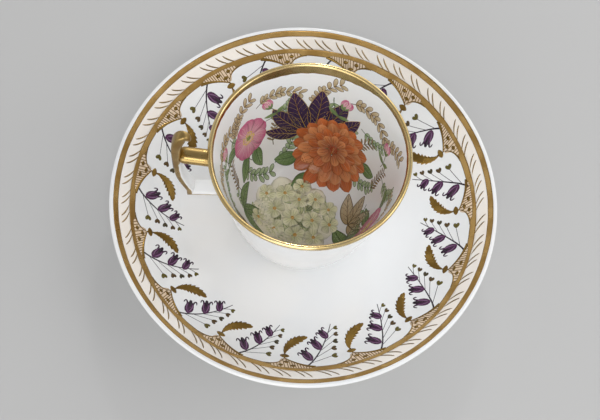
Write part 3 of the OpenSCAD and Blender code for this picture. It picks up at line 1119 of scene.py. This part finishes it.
def sprig(line, pairs, length, width, root, tip, ink, layer):
    """A stem with small leaves in pairs along it."""
    path = bezier(line, sprig_steps)
    across = lefts(path)
    strokes = [stroke(path, np.linspace(*sprig_half_w, sprig_steps + 1), ink, layer=layer)]
    half = lens(width, leaflet_steps, 0.56, 0.6)
    for i in np.linspace(*sprig_span, pairs).astype(int):
        aim = np.array((across[i][1], -across[i][0]))
        for sign in (-1, 1):
            end = path[i] + (aim * 0.75 + across[i] * sign * 0.8) * length * hand.uniform(*leaflet_reach)
            leaflet = bezier([path[i], (path[i] + end) / 2 + aim * length * 0.1, end], leaflet_steps)
            strokes.append(stroke(leaflet, half, root, tip, 3, layer + 1))
            for edge in (-1, 1):
                rim = leaflet + lefts(leaflet) * half[:, None] * edge
                strokes.append(stroke(rim, leaflet_line_w / 2, ink, columns=1, layer=layer + 2))
    return strokes


ember = (0.30, 0.042, 0.010)
orange = (0.64, 0.155, 0.035)
apricot = (0.78, 0.30, 0.11)
ochre = (0.60, 0.34, 0.06)
bloom = (petal_ring(17, 5, 18, 6.2, ember, orange, 15)
         + petal_ring(15, 4, 14.2, 5.4, ember, apricot, 20, turn=9)
         + petal_ring(12, 3, 10.4, 4.8, ember, orange, 25, turn=4)
         + petal_ring(9, 1.5, 6.8, 3.8, ember, apricot, 30, turn=16)
         + [dot((0, 0), 2, 2, ember, 34)])
bloom_seeds = 16
seed_turn = 2.4
for k in range(bloom_seeds):
    spot = hand.uniform(0.2, 1.7) * heading(k * seed_turn)
    bloom.append(dot(spot, 0.36, 0.32, ochre, 35))

blush = (0.78, 0.50, 0.54)
rose_pink = (0.52, 0.055, 0.20)
stamen = (0.76, 0.52, 0.08)
rose_heart = (0.20, 0.26, 0.05)
rose_petals = 5
rose_turn = 20
rose_stamens = 18
stamen_turn = 0.35
rose = []
for k in range(rose_petals):
    petal_turn = 360 / rose_petals * k + rose_turn
    for lobe in (-13, 13):
        way = heading(math.radians(petal_turn + lobe))
        rose.append(touch([way * 1.2, way * 6, way * 10], 12, 7.8, blush, rose_pink, 0.66, 0.5,
                          columns=6, layer=15 + k % 2 * 2 + (lobe > 0), edge=0.15))
    for lobe in (-22, -11, 0, 11, 22):
        way = heading(math.radians(petal_turn + lobe))
        vein = bezier([way * 2.4, way * hand.uniform(7, 8.8)], 5)
        rose.append(stroke(vein, vein_w / 2, rose_pink, columns=1, layer=20))
for k in range(rose_stamens):
    way = heading(k * stamen_turn) * hand.uniform(2.0, 3.4)
    rose.append(stroke(bezier([way * 0.2, way], 4), 0.1, stamen, columns=1, layer=21))
    rose.append(dot(way, 0.46, 0.4, stamen, 22))
rose.append(dot((0, 0), 1.1, 1.1, rose_heart, 23))

indigo = (0.022, 0.010, 0.045)
violet = (0.050, 0.020, 0.072)
dark_leaves, gold_lines = [], []
for base, tip, bow, width in (
        ((-5, -10), (-23, -6), 0.16, 7.2), ((-4, -8), (-19, 8), 0.14, 8.4), ((-2, -7), (-9, 16), 0.08, 9.0),
        ((1, -7), (3, 17.5), -0.05, 9.2), ((4, -7), (15, 15), -0.10, 8.6), ((7, -8), (24, 8), -0.14, 8.0)):
    fill, *lines = leaf_blade(base, tip, bow, width, indigo, violet, 9, brown_gold)
    dark_leaves.append(fill)
    gold_lines += lines

moss = (0.085, 0.165, 0.045)
sage = (0.20, 0.31, 0.11)
leaf_ink = (0.035, 0.075, 0.02)


def leaf_spray(tones, *leaves):
    """Leaves in two tones with veins in a third."""
    root, tip_tone, ink = tones
    return [made for base, tip, bow, width in leaves
            for made in leaf_blade(base, tip, bow, width, root, tip_tone, 12, ink, 5)]


greens = (moss, sage, leaf_ink)
rose_leaves = leaf_spray(greens, ((-4, -7), (-13, -17), 0.15, 5.4), ((2, -8), (1, -20), -0.12, 5.6),
                         ((-8, 2), (-18, 5), -0.14, 5.0))
bloom_leaves = leaf_spray(greens, ((-12, -8), (-23, -15), 0.14, 6.4), ((-5, -13), (-10, -25), 0.1, 6.0),
                          ((14, 2), (27, 2), -0.12, 6.0))
low_leaves = leaf_spray(greens, ((0, 0), (-11, 6), 0.16, 4.8), ((0, 0), (10, 7), -0.16, 4.8),
                        ((0, 0), (1, 12), 0.08, 4.6))

leek = (0.66, 0.67, 0.34)
cream = (0.87, 0.85, 0.61)
celadon = (0.44, 0.50, 0.27)
calyx_ink = (0.22, 0.28, 0.12)
blossoms = []
for middle in np.array((
        (0, 0), (7.5, 1.5), (3, -7.5), (-6.5, -4), (-5, 4.5), (9, -6), (2.5, 7.5), (-2, -12),
        (-11, 1), (14, -1), (-13, -7), (6, -13), (-8, 10), (9.5, 9), (-9, -12))):
    for angle in hand.uniform(0, 360, 2):
        way = heading(math.radians(angle))
        blossoms += leaf_blade(middle + way, middle + way * 6.5, 0.1, 2.6, celadon, leek, 9, calyx_ink, 3)
    blossoms += petal_ring(5, 0.6, 4.0, 3.5, leek, cream, 15, hand.uniform(0, 72), middle, 0.66, 0.45)
    blossoms.append(dot(middle, 0.7, 0.7, ochre, 20))

hazel = (0.21, 0.115, 0.045)
tan = (0.40, 0.26, 0.11)
straw = (0.62, 0.52, 0.36)
pale_leaf = (0.48, 0.56, 0.38)
bark = (0.11, 0.055, 0.022)
fern = sprig([(-8, -4), (-3, 3), (7, 4)], 8, 3.0, 1.5, tan, straw, bark, 0)
low_fern = sprig([(-7, 3), (0, -3), (8, 1)], 7, 3.0, 1.5, sage, pale_leaf, leaf_ink, 3)
tan_leaves = leaf_spray((tan, straw, bark), ((0, 0), (-12, 4), 0.14, 5.2), ((0, 0), (-6, 11), 0.1, 5.4),
                        ((0, 0), (4, 12.5), -0.06, 5.4), ((0, 0), (11.5, 7), -0.14, 5.2))
frond = sprig([(1, -9), (-1, -2), (2, 6)], 8, 2.8, 0.62, hazel, tan, bark, 6)
blossom_wash = petal_ring(11, 0, 18, 10, (0.78, 0.75, 0.50), (0.88, 0.85, 0.69), 4)
bud = [stroke(bezier([(0, -8), (1.5, -4), (0, 0)], 10), 0.14, leaf_ink, layer=11)]
for lean, tone in ((-1.3, rose_pink), (1.3, rose_pink), (0, blush)):
    bud.append(touch([(0, -0.5), (lean * 1.1, 2), (lean * 0.7, 4.6)], 10, 2.7, blush, tone, 0.55, 0.55,
                     columns=4, layer=15))
for lean in (-1.2, 0, 1.2):
    bud.append(touch([(0, -1), (lean, 0.3), (lean * 1.2, 1.8)], 6, 0.9, moss, sage, layer=17))
for sign in (-1, 1):
    bud.append(leaf_blade((0.8, -5), (sign * 4.5, -3), sign * -0.15, 1.9, moss, sage, 12, leaf_ink, 3)[0])

flower_enamel = enamel("flower_enamel", 0.35, (0.80, 0.60, 0.48, 1))
bloom_enamel = enamel("bloom_enamel", 0.35, (0.80, 0.47, 0.26, 1))
blossom_enamel = enamel("blossom_enamel", 0.35, (0.89, 0.87, 0.72, 1))
leaf_enamel = enamel("leaf_enamel", 0.3, (0.50, 0.56, 0.38, 1))
dark_enamel = enamel("dark_enamel", 0.22, (0.12, 0.07, 0.14, 1))
# The vein gold is real gilding, but it is drawn paler than the bands' gold: that extra pallor is a painted
# highlight set against the shade inside the bowl.
vein_gold = gilding("vein_gold", 0.1, bright=(0.85, 0.62, 0.24, 1), rubbed=(0.64, 0.43, 0.14, 1))
for name, strokes, finish, copies, turn, rise, tilt, strays in (
        ("bowl_ferns", fern, leaf_enamel, 11, 10, 7, 0, (10, 40, 0.15)),
        ("bowl_low_ferns", low_fern, leaf_enamel, 9, 25, -8, 0, (14, 60, 0.2)),
        ("bowl_fronds", frond, leaf_enamel, 10, 4, -22, 0, (12, 24, 0.2)),
        ("bowl_floor_ferns", low_fern, leaf_enamel, 8, 12, -46, 0, (14, 90, 0.2)),
        ("bowl_dark_leaves", dark_leaves, dark_enamel, 1, 90, -18, 0, (0, 0, 0)),
        ("bowl_gold_veins", gold_lines, vein_gold, 1, 90, -18, 0, (0, 0, 0)),
        ("bowl_rose_leaves", rose_leaves, leaf_enamel, 2, 146, -16, 0, (0, 0, 0)),
        ("bowl_bloom_leaves", bloom_leaves, leaf_enamel, 1, 66, -44, 0, (0, 0, 0)),
        ("bowl_low_leaves", low_leaves, leaf_enamel, 3, 190, -42, 180, (10, 12, 0.1)),
        ("bowl_tan_leaves", tan_leaves, leaf_enamel, 1, 338, -56, 40, (0, 0, 0)),
        ("bowl_blossom_wash", blossom_wash, blossom_enamel, 1, 235, -78, 0, (0, 0, 0)),
        ("bowl_blossoms", blossoms, blossom_enamel, 1, 235, -78, 0, (0, 0, 0)),
        ("bowl_rose", rose, flower_enamel, 2, 146, -16, 0, (0, 0, 0)),
        ("bowl_bloom", bloom, bloom_enamel, 1, 66, -44, 0, (0, 0, 0)),
        ("bowl_buds", bud, flower_enamel, 7, 12, 0, 0, (12, 30, 0.12))):
    piece = lay(name, strokes, "cup", finish, bowl, strays, From_Inside=True, Copies=copies, First_Turn=turn,
                Rise=rise, Reach=paint_reach, Middle_Height=paint_middle, Tilt=tilt, Seed=3)


# Stage: a plain pale table top, large soft lamps on the right, in front, above and behind, and a pale
# studio round them. It is not part of the object.
table_reach = 3.0
table_tones = ((0.50, 0.50, 0.495, 1), (0.53, 0.53, 0.525, 1))
sky_low = (0.76, 0.76, 0.76, 1)
sky_high = (0.35, 0.35, 0.36, 1)
table_corners = [(x * table_reach, y * table_reach, 0) for x, y in ((-1, -1), (1, -1), (1, 1), (-1, 1))]
table = shown("table_top", table_corners, [(0, 1, 2, 3)])
table_finish, tree, shader = finish_of("pale_table", Roughness=0.6)
where = place_on(tree)
feed(tree, shader, Base_Color=mixed(tree, noise(tree, where, 6.0), *table_tones))
table.data.materials.append(table_finish)


def lamp(name, direction, distance, size, power):
    """A square soft lamp that faces the saucer from a direction."""
    light = bpy.data.lights.new(name, "AREA")
    light.size = size
    light.energy = power
    obj = bpy.data.objects.new(name, light)
    way = Vector(direction).normalized()
    obj.location = way * distance
    obj.rotation_euler = way.to_track_quat("Z", "Y").to_euler()
    bpy.context.scene.collection.objects.link(obj)


lamp("key_lamp", (0.9, -0.15, 0.8), 1.1, 0.7, 2.7)
lamp("front_lamp", (-0.3, -1.0, 0.36), 1.1, 1.0, 4.7)
lamp("back_lamp", (0.35, 0.9, 0.5), 1.1, 0.9, 3.4)
lamp("top_lamp", (0.0, -0.5, 1.0), 1.2, 0.5, 2.7)
lamp("back_glint", (0.05, 1.0, 0.72), 1.0, 0.06, 0.6)
world = bpy.data.worlds.new("studio")
world.use_nodes = True
sky = world.node_tree
where = put(sky, "ShaderNodeTexCoord").outputs["Generated"]
upwards = put(sky, "ShaderNodeSeparateXYZ", {0: where}).outputs["Z"]
feed(sky, sky.nodes["Background"], Color=mixed(sky, between(sky, upwards, 0.0, 1.0), sky_low, sky_high))
bpy.context.scene.world = world
bpy.context.scene.view_settings.view_transform = "Standard"


# Camera: where the photographer stood, looking steeply down from the front. Its place is fitted to the
# saucer's edge and the cup's lip.
camera_rise = math.radians(68.18)
camera_roll = math.radians(7.45)
camera_turn = Matrix.Rotation(math.radians(-2), 3, "Z")
camera_distance = 390.4 * MM
aim_x = -1.06 * MM
aim_y = -5.95 * MM
camera = bpy.data.objects.new("camera", bpy.data.cameras.new("camera"))
camera.data.sensor_width = 36
camera.data.lens = 63
camera.data.clip_start = 10 * MM
back = camera_turn @ Vector((0, -math.cos(camera_rise), math.sin(camera_rise)))
right = camera_turn @ Vector((1, 0, 0))
up = back.cross(right)
across = right * math.cos(camera_roll) + up * math.sin(camera_roll)
upright = up * math.cos(camera_roll) - right * math.sin(camera_roll)
stand = camera_turn @ Vector((aim_x, aim_y, 0)) + Vector((0, 0, dish_lip_middle[1])) + back * camera_distance
camera.matrix_world = Matrix.Translation(stand) @ Matrix((across, upright, back)).transposed().to_4x4()
bpy.context.scene.collection.objects.link(camera)
bpy.context.scene.camera = camera
